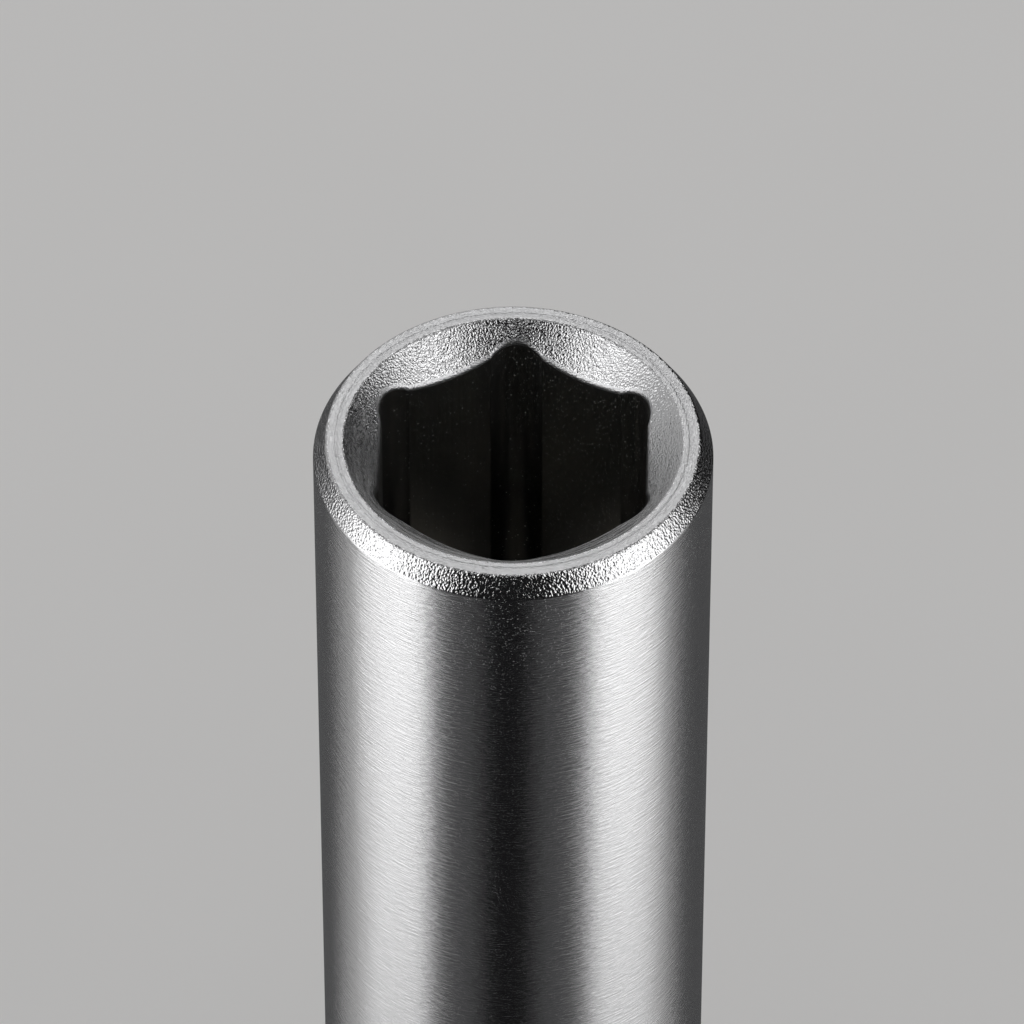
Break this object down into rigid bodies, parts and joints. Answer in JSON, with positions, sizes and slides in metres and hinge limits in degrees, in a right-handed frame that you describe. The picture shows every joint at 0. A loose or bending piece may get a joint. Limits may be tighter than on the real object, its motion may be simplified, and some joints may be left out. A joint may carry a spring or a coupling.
{
  "type": "deep socket",
  "caption": "Deep hexagon socket with a satin chrome barrel, corner-relieved hexagon, square drive, and a spring-loaded magnet in the bore that holds the fastener.",
  "frame": {"origin": "centre of the drive face, on the socket's axis", "axes": "+Z along the axis from the drive face to the hexagon's rim; two of the hexagon's corners lie on the Y axis, and the square's walls face X and Y"},
  "size_m": [0.0122, 0.0122, 0.05],
  "materials": {
    "satin_chrome": "satin chrome on chrome-vanadium steel, brushed around the barrel, blasted on the chamfers",
    "black_spring_steel": "blackened spring steel wire",
    "zinc_plate": "bright zinc on turned steel",
    "nickel_plate": "nickel on sintered magnet",
    "bright_spring_steel": "bright drawn spring wire"
  },
  "bodies": {
    "socket": {"socket_body": "satin_chrome", "retaining_ring": "black_spring_steel", "return_spring": "bright_spring_steel"},
    "magnet_plunger": {"magnet_cup": "zinc_plate", "holding_magnet": "nickel_plate"}
  },
  "joints": [
    {"name": "magnet_slide", "type": "slide", "parent": "socket", "child": "magnet_plunger", "axis": [0, 0, 1], "range_m": [-0.012, 0], "stiffness_N_per_m": 110, "springref_m": 0.002, "deforming": ["return_spring"]}
  ]
}
